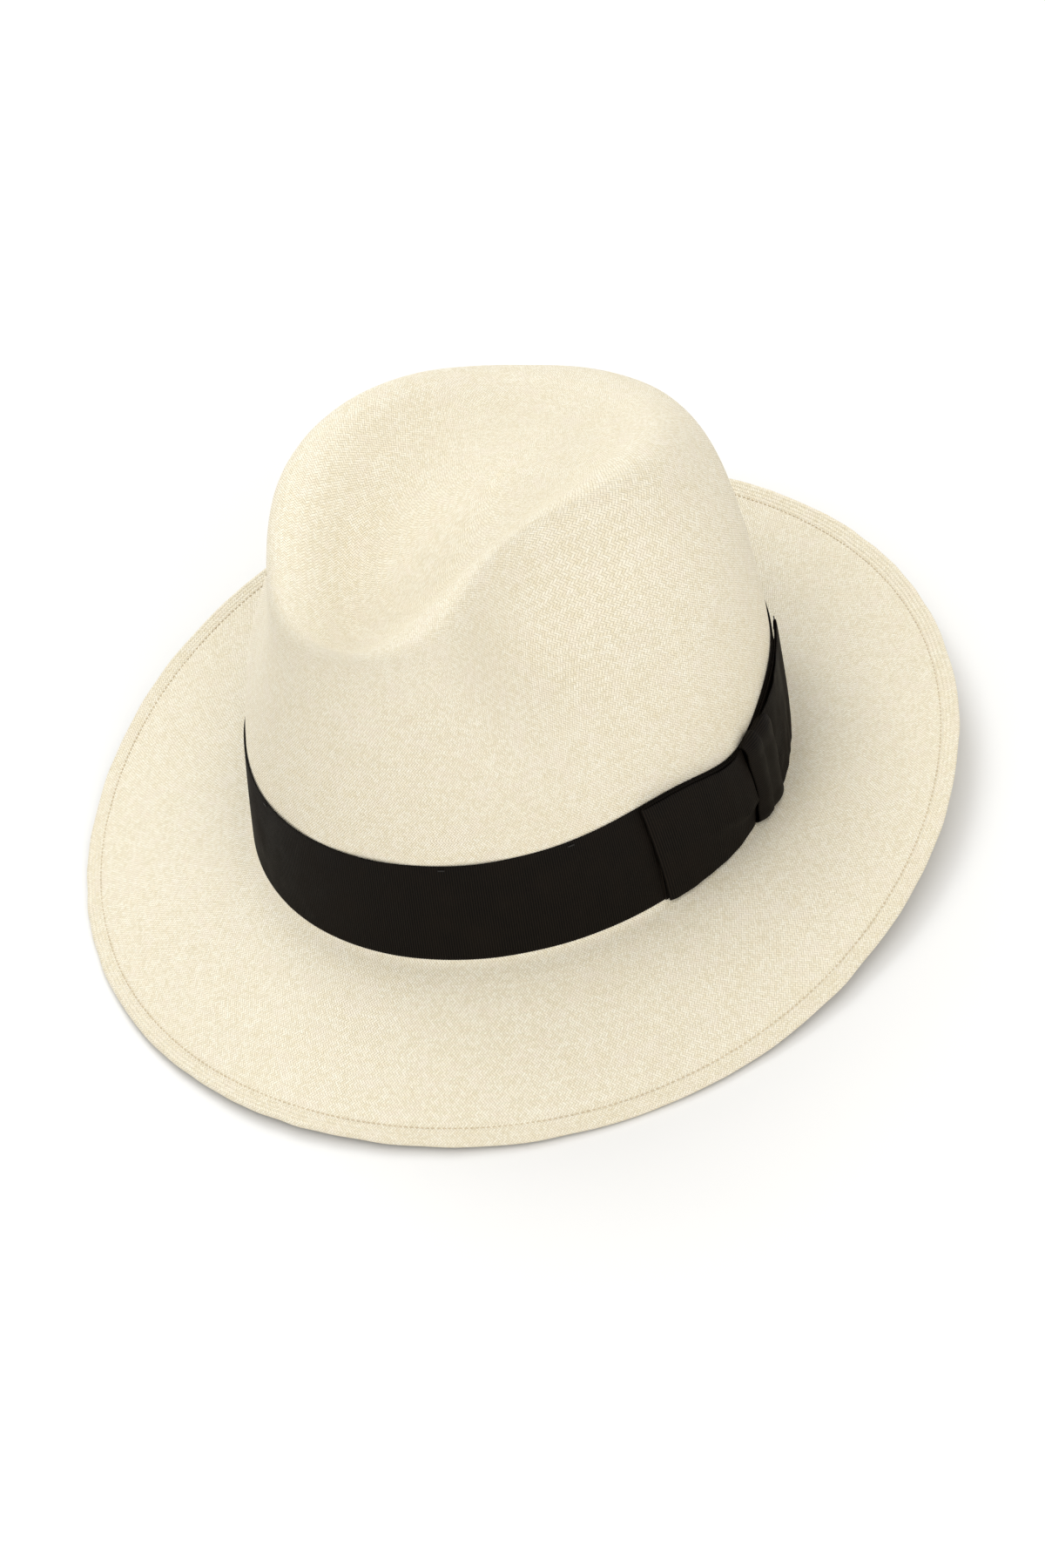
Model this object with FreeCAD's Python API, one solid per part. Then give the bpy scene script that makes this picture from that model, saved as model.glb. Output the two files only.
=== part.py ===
import FreeCAD, Part
import math
import os

os.makedirs("parts", exist_ok=True)

# A woven straw hat with a teardrop crown, a ribbon band with a flat side bow and a sweatband.
# Units are millimetres. The hat is drawn on the head plane (z = 0 where the crown meets the
# brim, front towards -Y, the wearer's left at +X) and is then tipped back to stand on z = 0.
# Round the hat, an angle of 0 degrees is the front, 90 the wearer's left and 180 the back.

# ---- driving dimensions -------------------------------------------------------------------
STRAW = 1.2                # thickness of the weave
HEAD_HALF_WIDTH = 85.5     # outside of the weave at the head line
HEAD_HALF_LENGTH = 101.0
SPLIT_HEIGHT = 2.0         # the weave's wall and brim parts meet here, under the ribbon
CROWN_SPLIT = 0.06         # share of the crown's rows in its wall, whose top is under the ribbon

EDGE_HALF_WIDTH = 147.5    # brim edge
EDGE_HALF_LENGTH = 154.0
EDGE_FORWARD = 2.5         # the brim is this much longer at the front than at the back
EDGE_DROP = 6.0            # brim edge below the head plane at the sides
EDGE_SNAP = 28.0           # front edge lower, and back edge higher, by this much
EDGE_WAVE = 2.75           # three shallow waves round the edge
BRIM_CURL = 1.25           # power by which the brim curves towards its edge
BREAK_DIP = 1.5            # the brim dips by this where it leaves the crown
HEM_WIDTH = 6.5            # turned-under edge
STITCH_INSET = 6.0         # hem stitching, in from the edge
HEAD_TIP = 7.3             # degrees that the hat tips back when it stands on its brim

RIBBON_FOOT = 0.4          # lower edge of the ribbon above the head plane
RIBBON_TOP = 38.0
RIBBON = 0.5               # thickness of the ribbon
RIBBON_DIP = 7.0           # how far the bow's knot gathers the ribbon's top edge
DIP_ANGLE = 91.0
DIP_SPREAD = 13.0

LOOP_FRONT_ANGLE = 64.0    # the bow, from its front fold to its back end
KNOT_FRONT_ANGLE = 92.0
KNOT_BACK_ANGLE = 99.0
LOOP_BACK_ANGLE = 124.0
LOOP_HEIGHT = 3.4          # how far the loops stand off the ribbon
LOOP_RISE = 1.6            # how quickly a loop rises from its fold
LOOP_FLATNESS = 0.55       # height of a loop's edges, as a share of its middle's
FOLD_HEIGHT = 1.6
KNOT_HEIGHT = 4.6
KNOT_FLATNESS = 0.8
UNDER_LAYER_INSET = 1.5    # degrees
BOW_INSET = 0.4            # the bow is narrower than the ribbon by this at each edge
TACK_ANGLES = (20, 48, 150, 180, 210, 250, 290, 330)
TACK_TURN = 0.7            # half a tack's length, in degrees
TACK_INSET = 1.5           # tacks, down from the ribbon's top edge
BOW_TACK_START = (3, -2, 0)      # degrees past the bow's end, height over the ribbon, lift
BOW_TACK_END = (5, 3, 1)

SWEATBAND = 0.9            # thickness of the leather
SWEATBAND_FOOT = 2.6
SWEATBAND_TOP = 36.0
REED_RADIUS = 0.7
TAPE = 0.3
STITCH_RISE = 2.0          # sweatband stitching above the leather's foot
THREAD_RADIUS = 0.2
THREAD_SIDES = 6
GAP = 0.1                  # clearance between layers that lie on each other

REAR_SEAM_STITCHES = 9     # slanting stitches that close the leather at the back
REAR_SEAM_FOOT = 5.0       # above the leather's foot
REAR_SEAM_MARGIN = 8.0     # leather that the seam leaves free, bottom and top together
REAR_SEAM_TURN = 0.9       # half a stitch's width, in degrees
REAR_SEAM_SLANT = 0.7      # rise of a stitch, as a share of the step between two

SMALL_BOW_HEIGHT = 8.0     # centre of the sweatband's small bow above the leather's foot
SMALL_BOW_LIFT = 0.9
SMALL_BOW_PARTS = [        # turn in degrees, then half length, half depth and half height
    (-5.5, 4.4, 0.8, 2.6),
    (5.5, 4.4, 0.8, 2.6),
    (0, 1.6, 0.8, 2.2),
]

BOW_FLOOR = 2 * GAP + RIBBON       # the bow's layers, off the crown's wall
LOOP_FLOOR = BOW_FLOOR + RIBBON + GAP
BOW_FOOT = RIBBON_FOOT + 0.3
LEATHER_BACK = -(STRAW + 2 * GAP)  # the sweatband's two faces and its reed, off the same wall
LEATHER_FACE = LEATHER_BACK - SWEATBAND
REED_OFFSET = LEATHER_BACK - REED_RADIUS - TAPE - 2 * GAP

# Crown rows, from the head line up the wall, over the crest and down into the dent. Each row
# steers the surface there: half width, front and back y, height at front, side and back, how
# much the front is narrower than the back, lean towards the right, left and right pinch.
CROWN_ROWS = [
    (HEAD_HALF_WIDTH, -HEAD_HALF_LENGTH, HEAD_HALF_LENGTH) + (SPLIT_HEIGHT,) * 3 + (0, 0, 0, 0),
    (83.5, -101, 100.5, 38, 38, 38, 0, 0, 0, 0),
    (83, -97.5, 92, 72, 72, 72, 0, 0, 13, 4),
    (72, -99, 91.5, 109, 90, 104, 0.08, 0, 35, 14),
    (60, -95, 80, 118, 134, 109, 0, 3, 18, 2),
    (41, -91, 62, 112, 134, 116, 0.4, 4, 2, 0),
    (24, -65, 50, 100, 110, 112, 0.38, 4, 0, 0),
    (12, -10, 32, 113, 113, 113, 0, 3, 0, 0),
    (0.8, 10.7, 12.3, 113, 113, 113, 0, 3, 0, 0),
]
PINCH_SPREAD = 27          # angle over which a pinch fades
LEFT_PINCH_ANGLE = 65
RIGHT_PINCH_ANGLE = 48
LEAN_Y = -35               # where the crest leans most towards the right
LEAN_SPREAD = 50

# Brim rows from the split out to the edge: reach from the head line to the edge, and lift.
BRIM_ROWS = [
    (0, SPLIT_HEIGHT), (0, -0.6), (0.02, -BREAK_DIP), (0.14, -BREAK_DIP / 2), (0.42, 0), (0.72, 0), (1, 0)
]

RING_POLES = 48
HALVINGS = 30              # steps of a search along a surface
POLE_GAIN = 3 / (2 + math.cos(2 * math.pi / RING_POLES))  # poles stand out from their curve


# ---- shapes -------------------------------------------------------------------------------
def vec(x, y, z):
    return FreeCAD.Vector(x, y, z)


def ring_angles():
    return [2 * math.pi * i / RING_POLES for i in range(RING_POLES)]


def bump(angle, centre, spread):
    turn = (math.degrees(angle) - centre + 180) % 360 - 180
    return math.exp(-((turn / spread) ** 2))


def crown_ring(row):
    half_width, y_front, y_back, z_front, z_side, z_back, egg, lean, left_pinch, right_pinch = row
    poles = []
    for a in ring_angles():
        c = math.cos(a)
        s = math.sin(a)
        pinch = left_pinch * bump(a, LEFT_PINCH_ANGLE, PINCH_SPREAD)
        pinch += right_pinch * bump(a, -RIGHT_PINCH_ANGLE, PINCH_SPREAD)
        y = (y_front + y_back) / 2 - (y_back - y_front) / 2 * c
        x = half_width * s * (1 - egg * c) - pinch * s - lean * math.exp(-(((y - LEAN_Y) / LEAN_SPREAD) ** 2))
        mean = (z_front + z_back) / 4 + z_side / 2
        z = mean + (z_front - z_back) / 2 * c + ((z_front + z_back) / 4 - z_side / 2) * math.cos(2 * a)
        poles.append(vec(x * POLE_GAIN, y * POLE_GAIN, z))
    return poles


def brim_ring(reach, lift):
    """Ring of the brim's top: reach 0 is the head line and 1 the edge."""
    poles = []
    for a in ring_angles():
        c = math.cos(a)
        half_width = HEAD_HALF_WIDTH + (EDGE_HALF_WIDTH - HEAD_HALF_WIDTH) * reach
        half_length = HEAD_HALF_LENGTH + (EDGE_HALF_LENGTH - HEAD_HALF_LENGTH) * reach
        edge = -EDGE_DROP - EDGE_SNAP * c + EDGE_WAVE * math.cos(3 * a)
        x = half_width * math.sin(a)
        y = -half_length * c - EDGE_FORWARD * reach
        poles.append(vec(x * POLE_GAIN, y * POLE_GAIN, edge * reach ** BRIM_CURL + lift))
    return poles


def offset_rows(rows, distance):
    """Rows moved along the surface's normal: positive is out of the hat or above the brim."""
    moved = []
    for k, row in enumerate(rows):
        above = rows[min(k + 1, len(rows) - 1)]
        below = rows[max(k - 1, 0)]
        new_row = []
        for i, point in enumerate(row):
            along = row[(i + 1) % len(row)] - row[i - 1]
            across = above[i] - below[i]
            normal = along.cross(across)
            new_row.append(point + normal.normalize() * distance)
        moved.append(new_row)
    return moved


def clamped(count, degree):
    """Knots and multiplicities of a clamped uniform spline with this many poles."""
    spans = count - degree
    knots = [k / spans for k in range(spans + 1)]
    mults = [degree + 1] + [1] * (spans - 1) + [degree + 1]
    return knots, mults


def surface(rows, closed, row_degree=3):
    """Spline surface through rows of poles. A closed surface goes right round in u."""
    degree = min(row_degree, len(rows) - 1)
    count = len(rows[0])
    poles = [[row[i] for row in rows] for i in range(count)]
    v_knots, v_mults = clamped(len(rows), degree)
    if closed:
        u_knots = [i / count for i in range(count + 1)]
        u_mults = [1] * (count + 1)
    else:
        u_knots, u_mults = clamped(count, 3)
    shape = Part.BSplineSurface()
    shape.buildFromPolesMultsKnots(poles, u_mults, v_mults, u_knots, v_knots, closed, False, 3, degree)
    return shape


def sewn_solid(faces):
    shell = Part.Shell(faces)
    shell.sewShape()
    solid = Part.Solid(shell)
    if solid.Volume < 0:
        solid.reverse()
    return solid


def disc(rows):
    """Flat cap that closes the last row of a closed surface."""
    edge = surface(rows, True).vIso(1.0).toShape()
    return Part.Face(Part.Wire([edge]))


def end_strip(outer, inner, v):
    """Ruled strip that joins two closed surfaces along their rings at v."""
    return Part.makeRuledSurface(outer.vIso(v).toShape(), inner.vIso(v).toShape())


def ring_solid(outer, inner):
    """Band between two closed surfaces, shut by a strip along both of their ends."""
    faces = [surface(outer, True), surface(inner, True)]
    faces += [surface([outer[k], inner[k]], True) for k in (0, -1)]
    return sewn_solid([face.toShape() for face in faces])


def stretch_of(rows, low, high):
    """Part of a closed surface, between two values of its v."""
    part = surface(rows, True)
    part.segment(0.0, 1.0, low, high)
    return part


def patch_solid(outer, inner):
    """Pad between two open surfaces, with a strip along each of its four sides."""
    sheets = [outer, inner, [outer[0], inner[0]], [outer[-1], inner[-1]]]
    faces = [surface(sheet, False).toShape() for sheet in sheets]
    for i in (0, -1):
        side = [[row[i] for row in outer], [row[i] for row in inner]]
        faces.append(surface(side, False).toShape())
    return sewn_solid(faces)


def thread_ring(centres, radius):
    """Closed thread with flat sides round a ring of points, given as for tube_ring."""
    rows = []
    for k in range(THREAD_SIDES):
        turn = 2 * math.pi * k / THREAD_SIDES
        a = radius * math.cos(turn)
        b = radius * math.sin(turn)
        rows.append([centre + out * a + up * b for centre, out, up in centres])
    sides = [surface([rows[k - 1], rows[k]], True) for k in range(THREAD_SIDES)]
    return sewn_solid([side.toShape() for side in sides])


def tube_ring(centres, radius):
    """Closed tube round a ring of points, each given with its outward and upward directions."""
    halves = []
    for side in (1, -1):
        reach = side * radius * 4 / 3   # a cubic with these handles follows a half circle
        corners = [(radius, 0), (radius, reach), (-radius, reach), (-radius, 0)]
        rows = [[centre + out * a + up * b for centre, out, up in centres] for a, b in corners]
        halves.append(surface(rows, True).toShape())
    return sewn_solid(halves)


# ---- places on the finished surfaces ------------------------------------------------------
crown_outer = [crown_ring(row) for row in CROWN_ROWS]
brim_top = [brim_ring(reach, lift) for reach, lift in BRIM_ROWS]
brim_under = offset_rows(brim_top, STRAW)
crown_inner = [brim_under[0]] + offset_rows(crown_outer, -STRAW)[1:]
crown_surface = surface(crown_outer, True)
brim_surface = surface(brim_top, True)


def spline_u(angle_deg):
    """The u of a closed surface at this angle: u = 0 lies at its second pole."""
    return (angle_deg / 360 - 1 / RING_POLES) % 1.0


def wall_point(angle_deg, height, offset):
    """Point off the crown's wall at this angle and height, and the wall's outward normal."""
    u = spline_u(angle_deg)
    low = 0.0
    high = 0.5
    for _ in range(HALVINGS):
        middle = (low + high) / 2
        if crown_surface.value(u, middle).z < height:
            low = middle
        else:
            high = middle
    point = crown_surface.value(u, low)
    normal = crown_surface.normal(u, low)
    if normal.x * point.x + normal.y * point.y < 0:
        normal = normal * -1
    return point + normal * offset, normal


def brim_point(angle_deg, inset, offset):
    """Point this far in from the brim's edge, off its top surface, with outward and up."""
    u = spline_u(angle_deg)
    edge = brim_surface.value(u, 1.0)
    low = 0.4
    high = 1.0
    for _ in range(HALVINGS):
        middle = (low + high) / 2
        if (brim_surface.value(u, middle) - edge).Length > inset:
            low = middle
        else:
            high = middle
    point = brim_surface.value(u, high)
    up = brim_surface.normal(u, high)
    if up.z < 0:
        up = up * -1
    out = (edge - brim_surface.value(u, 0.9)).normalize()
    return point + up * offset, out, up


def poles_through(points):
    return [vec(p.x * POLE_GAIN, p.y * POLE_GAIN, p.z) for p in points]


def wall_ring(height_at, offset):
    angles = [math.degrees(a) for a in ring_angles()]
    return poles_through([wall_point(a, height_at(a), offset)[0] for a in angles])


def brim_inset_ring(inset, offset):
    return poles_through([brim_point(math.degrees(a), inset, offset)[0] for a in ring_angles()])


def ribbon_top(angle_deg):
    return RIBBON_TOP - RIBBON_DIP * bump(math.radians(angle_deg), DIP_ANGLE, DIP_SPREAD)


def wall_band(foot, top_at, inside, outside, steps=4):
    """Band that hugs the crown's wall between two offsets from its outer face."""
    def row_at(k, offset):
        part = k / (steps - 1)
        return wall_ring(lambda a: foot + (top_at(a) - foot) * part, offset)
    outer = [row_at(k, outside) for k in range(steps)]
    inner = [row_at(k, inside) for k in range(steps)]
    return ring_solid(outer, inner)


def wall_ring_centres(height, offset):
    up = vec(0, 0, 1)
    centres = []
    for a in ring_angles():
        point, out = wall_point(math.degrees(a), height, offset)
        centres.append((poles_through([point])[0], out, up))
    return centres


def brim_ring_centres(inset, offset):
    centres = []
    for a in ring_angles():
        point, out, up = brim_point(math.degrees(a), inset, offset)
        centres.append((poles_through([point])[0], out, up))
    return centres


def pad(angles, foot, top_at, base, height_at, columns=9, steps=5):
    """Pad on the wall: height_at(across, up) is its height over base, both from 0 to 1."""
    outer = []
    inner = []
    for k in range(steps):
        up = k / (steps - 1)
        outer_row = []
        inner_row = []
        for i in range(columns):
            across = i / (columns - 1)
            angle = angles[0] + (angles[1] - angles[0]) * across
            height = foot + (top_at(angle) - foot) * up
            inner_row.append(wall_point(angle, height, base)[0])
            outer_row.append(wall_point(angle, height, base + height_at(across, up))[0])
        outer.append(outer_row)
        inner.append(inner_row)
    return patch_solid(outer, inner)


def rod(start, end, radius):
    run = end - start
    return Part.makeCylinder(radius, run.Length, start, run)


# ---- pieces -------------------------------------------------------------------------------
def woven_crown_wall():
    outer = stretch_of(crown_outer, 0.0, CROWN_SPLIT)
    inner = stretch_of(crown_inner, 0.0, CROWN_SPLIT)
    faces = [outer.toShape(), inner.toShape()]
    faces += [end_strip(outer, inner, v) for v in (0.0, CROWN_SPLIT)]
    return [sewn_solid(faces)]


def woven_crown_top():
    outer = stretch_of(crown_outer, CROWN_SPLIT, 1.0)
    inner = stretch_of(crown_inner, CROWN_SPLIT, 1.0)
    faces = [outer.toShape(), inner.toShape(), end_strip(outer, inner, CROWN_SPLIT)]
    faces += [disc(crown_outer), disc(crown_inner)]
    return [sewn_solid(faces)]


def woven_brim():
    return [ring_solid(brim_top, brim_under)]


def brim_hem():
    insets = [HEM_WIDTH, HEM_WIDTH / 2, 0]
    upper = [brim_inset_ring(inset, -(STRAW + GAP)) for inset in insets]
    lower = [brim_inset_ring(inset, -(2 * STRAW + GAP)) for inset in insets]
    return [ring_solid(upper, lower)]


def hem_stitching():
    above = THREAD_RADIUS + GAP / 2
    below = -(2 * STRAW + GAP + above)
    rings = [brim_ring_centres(STITCH_INSET, offset) for offset in (above, below)]
    return [thread_ring(centres, THREAD_RADIUS) for centres in rings]


def ribbon_band():
    return [wall_band(RIBBON_FOOT, ribbon_top, GAP, GAP + RIBBON)]


def bow_top(angle_deg):
    return ribbon_top(angle_deg) - BOW_INSET


def bow_under_layer():
    angles = (LOOP_FRONT_ANGLE + UNDER_LAYER_INSET, LOOP_BACK_ANGLE - UNDER_LAYER_INSET)
    return [pad(angles, BOW_FOOT, bow_top, BOW_FLOOR, lambda across, up: RIBBON, columns=15)]


def loop_height(from_fold, up):
    rise = math.sin(math.pi / 2 * min(1, from_fold * LOOP_RISE))
    belly = LOOP_FLATNESS + (1 - LOOP_FLATNESS) * math.sin(math.pi * up)
    return FOLD_HEIGHT + (LOOP_HEIGHT - FOLD_HEIGHT) * rise * belly


def bow_front_loop():
    angles = (LOOP_FRONT_ANGLE, KNOT_FRONT_ANGLE - GAP)
    return [pad(angles, BOW_FOOT, bow_top, LOOP_FLOOR, loop_height)]


def bow_rear_loop():
    angles = (KNOT_BACK_ANGLE + GAP, LOOP_BACK_ANGLE)
    return [pad(angles, BOW_FOOT, bow_top, LOOP_FLOOR, lambda across, up: loop_height(1 - across, up))]


def bow_knot():
    angles = (KNOT_FRONT_ANGLE, KNOT_BACK_ANGLE)
    def height_at(across, up):
        return KNOT_HEIGHT * (KNOT_FLATNESS + (1 - KNOT_FLATNESS) * math.sin(math.pi * across))
    return [pad(angles, BOW_FOOT - 2 * GAP, bow_top, LOOP_FLOOR, height_at)]


def bow_tack_thread():
    ends = []
    for turn, rise, lift in (BOW_TACK_START, BOW_TACK_END):
        offset = BOW_FLOOR + THREAD_RADIUS + lift
        ends.append(wall_point(LOOP_BACK_ANGLE + turn, RIBBON_TOP + rise, offset)[0])
    return [rod(ends[0], ends[1], THREAD_RADIUS)]


def ribbon_tacks():
    offset = GAP + RIBBON + THREAD_RADIUS + GAP
    tacks = []
    for angle in TACK_ANGLES:
        turns = (-TACK_TURN, TACK_TURN)
        ends = [wall_point(angle + turn, RIBBON_TOP - TACK_INSET, offset)[0] for turn in turns]
        tacks.append(rod(ends[0], ends[1], THREAD_RADIUS))
    return tacks


def sweatband():
    return [wall_band(SWEATBAND_FOOT, lambda a: SWEATBAND_TOP, LEATHER_FACE, LEATHER_BACK)]


def sweatband_reed():
    return [tube_ring(wall_ring_centres(SPLIT_HEIGHT, REED_OFFSET), REED_RADIUS)]


def reed_tape():
    centres = wall_ring_centres(SPLIT_HEIGHT, REED_OFFSET)
    return [tube_ring(centres, REED_RADIUS + TAPE).cut(tube_ring(centres, REED_RADIUS + GAP / 2))]


def sweatband_stitching():
    offset = LEATHER_FACE - THREAD_RADIUS - GAP / 2
    return [thread_ring(wall_ring_centres(SWEATBAND_FOOT + STITCH_RISE, offset), THREAD_RADIUS)]


def sweatband_rear_seam():
    step = (SWEATBAND_TOP - SWEATBAND_FOOT - REAR_SEAM_MARGIN) / REAR_SEAM_STITCHES
    offset = LEATHER_FACE - THREAD_RADIUS - GAP / 2
    threads = []
    for k in range(REAR_SEAM_STITCHES):
        height = SWEATBAND_FOOT + REAR_SEAM_FOOT + k * step
        start = wall_point(180 - REAR_SEAM_TURN, height, offset)[0]
        end = wall_point(180 + REAR_SEAM_TURN, height + step * REAR_SEAM_SLANT, offset)[0]
        threads.append(rod(start, end, THREAD_RADIUS))
    return threads


def sweatband_bow():
    floor = LEATHER_FACE - 4 * THREAD_RADIUS
    pieces = []
    for turn, half_length, half_depth, half_height in SMALL_BOW_PARTS:
        centre, normal = wall_point(180 + turn, SWEATBAND_FOOT + SMALL_BOW_HEIGHT, floor)
        stretch = FreeCAD.Matrix()
        stretch.scale(half_length, half_depth, half_height)
        loop = Part.makeSphere(1).transformGeometry(stretch)
        loop.translate(centre - normal * SMALL_BOW_LIFT)
        pieces.append(loop)
    return pieces


PIECES = {
    "woven_crown_wall": woven_crown_wall, "woven_crown_top": woven_crown_top,
    "woven_brim": woven_brim, "brim_hem": brim_hem, "hem_stitching": hem_stitching,
    "ribbon_band": ribbon_band, "ribbon_tacks": ribbon_tacks,
    "bow_under_layer": bow_under_layer, "bow_front_loop": bow_front_loop,
    "bow_rear_loop": bow_rear_loop, "bow_knot": bow_knot, "bow_tack_thread": bow_tack_thread,
    "sweatband": sweatband, "sweatband_reed": sweatband_reed, "reed_tape": reed_tape,
    "sweatband_stitching": sweatband_stitching, "sweatband_rear_seam": sweatband_rear_seam,
    "sweatband_bow": sweatband_bow,
}


def stand_up(nodes):
    """Tip the hat back onto its brim, with the middle of its foot at the origin."""
    box = FreeCAD.BoundBox()
    for shape in nodes.values():
        shape.rotate(vec(0, 0, 0), vec(1, 0, 0), -HEAD_TIP)
        box.add(shape.optimalBoundingBox(False, False))
    foot = vec(-(box.XMin + box.XMax) / 2, -(box.YMin + box.YMax) / 2, -box.ZMin)
    for shape in nodes.values():
        shape.translate(foot)


def main():
    nodes = {name: Part.Compound(build()) for name, build in PIECES.items()}
    stand_up(nodes)
    for name, shape in nodes.items():
        sound = all(solid.isValid() and solid.isClosed() for solid in shape.Solids)
        print(name, len(shape.Solids), sound, round(shape.Volume))
        shape.exportStep("parts/" + name + ".step")


main()
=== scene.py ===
import math

import bpy
import numpy as np
from mathutils import Matrix, Vector


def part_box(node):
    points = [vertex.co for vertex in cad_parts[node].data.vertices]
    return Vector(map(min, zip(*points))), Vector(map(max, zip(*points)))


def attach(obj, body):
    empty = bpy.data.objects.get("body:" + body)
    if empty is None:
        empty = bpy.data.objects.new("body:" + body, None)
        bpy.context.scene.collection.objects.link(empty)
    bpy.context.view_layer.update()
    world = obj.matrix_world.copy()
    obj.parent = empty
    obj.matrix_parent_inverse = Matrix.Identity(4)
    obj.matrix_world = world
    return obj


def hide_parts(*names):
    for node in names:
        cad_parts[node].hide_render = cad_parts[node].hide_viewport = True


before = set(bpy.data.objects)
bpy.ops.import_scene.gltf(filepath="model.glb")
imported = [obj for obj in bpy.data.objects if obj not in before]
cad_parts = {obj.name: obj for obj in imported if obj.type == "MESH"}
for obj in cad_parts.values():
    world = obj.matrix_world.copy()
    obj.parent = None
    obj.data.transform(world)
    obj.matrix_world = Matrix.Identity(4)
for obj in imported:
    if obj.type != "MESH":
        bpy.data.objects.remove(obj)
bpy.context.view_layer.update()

# The hat's shapes are worked out in millimetres on its head plane (z = 0 where the crown meets
# the brim, front towards -Y, the wearer's left at +X), as in the CAD model, and to_frame() then
# tips and lifts them onto the frame. Angles round the hat are in degrees: 0 is the front, 90 the
# wearer's left and 180 the back.
MM = 0.001

# ---- driving dimensions -------------------------------------------------------------------
HEAD_HALF_WIDTH = 85.5
HEAD_HALF_LENGTH = 101.0
SPLIT_HEIGHT = 2.0
EDGE_HALF_WIDTH = 147.5
EDGE_HALF_LENGTH = 154.0
EDGE_FORWARD = 2.5
EDGE_DROP = 6.0
EDGE_SNAP = 28.0
EDGE_WAVE = 2.75
BRIM_CURL = 1.25
BREAK_DIP = 1.5
HEAD_TIP = math.radians(7.3)

CROWN_ROWS = [  # half width, y front, y back, z front, z side, z back, egg, lean, left pinch, right pinch
    (HEAD_HALF_WIDTH, -HEAD_HALF_LENGTH, HEAD_HALF_LENGTH) + (SPLIT_HEIGHT,) * 3 + (0, 0, 0, 0),
    (83.5, -101, 100.5, 38, 38, 38, 0, 0, 0, 0),
    (83, -97.5, 92, 72, 72, 72, 0, 0, 13, 4),
    (72, -99, 91.5, 109, 90, 104, 0.08, 0, 35, 14),
    (60, -95, 80, 118, 134, 109, 0, 3, 18, 2),
    (41, -91, 62, 112, 134, 116, 0.4, 4, 2, 0),
    (24, -65, 50, 100, 110, 112, 0.38, 4, 0, 0),
    (12, -10, 32, 113, 113, 113, 0, 3, 0, 0),
    (0.8, 10.7, 12.3, 113, 113, 113, 0, 3, 0, 0),
]
PINCH_SPREAD = 27
LEFT_PINCH_ANGLE = 65
RIGHT_PINCH_ANGLE = 48
LEAN_Y = -35
LEAN_SPREAD = 50
BRIM_ROWS = [  # reach from the head line to the edge, lift
    (0, SPLIT_HEIGHT), (0, -0.6), (0.02, -BREAK_DIP), (0.14, -BREAK_DIP / 2),
    (0.42, 0), (0.72, 0), (1, 0),
]
RING_POLES = 48
POLE_GAIN = 3 / (2 + math.cos(2 * math.pi / RING_POLES))

STRAW = 1.0                # thickness of the weave as it shows
CROWN_RINGS = 112
INNER_RINGS = 60
BRIM_RINGS = 26
UNDER_RINGS = 20
STRAW_COLUMNS = 320
UNEVENNESS = 0.22          # how far the weave strays from its smooth form
EDGE_STRAY = 0.35          # how far the edge strays in and out

STRAND = 1.05              # pitch of the slanting strands, measured round the hat
WEAVE_RELIEF = 0.22        # height of a strand over the gaps beside it
BAND = 13.0                # length of a stretch with one count of strands

HEM_WIDTH = 6.5
HEM_ROW = 0.3              # spacing of the mesh's rings over the hem
STITCH_INSET = 6.0
STITCH_PITCH = 1.8
STITCH_LENGTH = 1.15
STITCH_RADIUS = 0.22
STITCH_SINK = 0.05
HEM_RIDGE = 1.3            # spacing of the hem's ridges
HEM_RELIEF = 0.16
GROOVE = 0.12              # depth and half width of the line that the stitches pull in
GROOVE_HALF_WIDTH = 0.5

GAP = 0.1                  # between layers that lie on each other
RIBBON = 0.5               # thickness
RIBBON_FOOT = -0.5
RIBBON_TOP = 38.0
RIBBON_DIP = 7.0
DIP_ANGLE = 91.0
DIP_SPREAD = 13.0
RIB = 0.8                  # pitch of the grosgrain's ribs
RIB_SAMPLES = 4
RIB_RELIEF = 0.13
SCALLOP = 0.1              # how far a rib stands out at the ribbon's edge
YARN = 0.32                # pitch of the yarns that cross the ribs

LOOP_FRONT_ANGLE = 64.0
KNOT_FRONT_ANGLE = 92.0
KNOT_BACK_ANGLE = 103.0
LOOP_BACK_ANGLE = 124.0
WALL_TURN = 1.53           # millimetres of wall in a degree, where the bow is
BOW_FLOOR = 2 * GAP + RIBBON
LOOP_FLOOR = BOW_FLOOR + RIBBON + GAP
INNER_LAYER = LOOP_FLOOR + 0.3   # middle of a loop's inner layer, off the crown's wall
BOW_INSET = 0.4
BOW_FOOT = RIBBON_FOOT + 0.1
KNOT_STEP = 0.35           # spacing of the knot's mesh along its strip
KNOT_WAIST_HEIGHT = 15

SWEATBAND = 0.9
SWEATBAND_FOOT = 2.6
SWEATBAND_TOP = 36.0
LEATHER_BACK = -1.4
LEATHER_FACE = LEATHER_BACK - SWEATBAND
THREAD_RADIUS = 0.2
REAR = 180.0               # angle of the leather's seam and of the small bow
LEATHER_GIRTH = 575.0
BAND_STITCHES = 230
BAND_STITCH_HEIGHT = 4.6
BAND_STITCH_LENGTH = 1.7
SEAM_STITCHES = 18
SEAM_FOOT = 4              # above the leather's foot
SEAM_MARGIN = 6            # leather that the seam leaves free, bottom and top together
SEAM_RISE = 0.65           # rise of a stitch for each millimetre that it goes sideways
SEAM_STITCH_LENGTH = 2.9
SMALL_BOW_HEIGHT = 8.0     # centre of the small bow above the leather's foot
SMALL_LOOP_REACH = 3.4
SMALL_LOOP_RISE = 1.7
SMALL_END_REACH = 2.6
SMALL_END_DROP = 3.2
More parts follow.
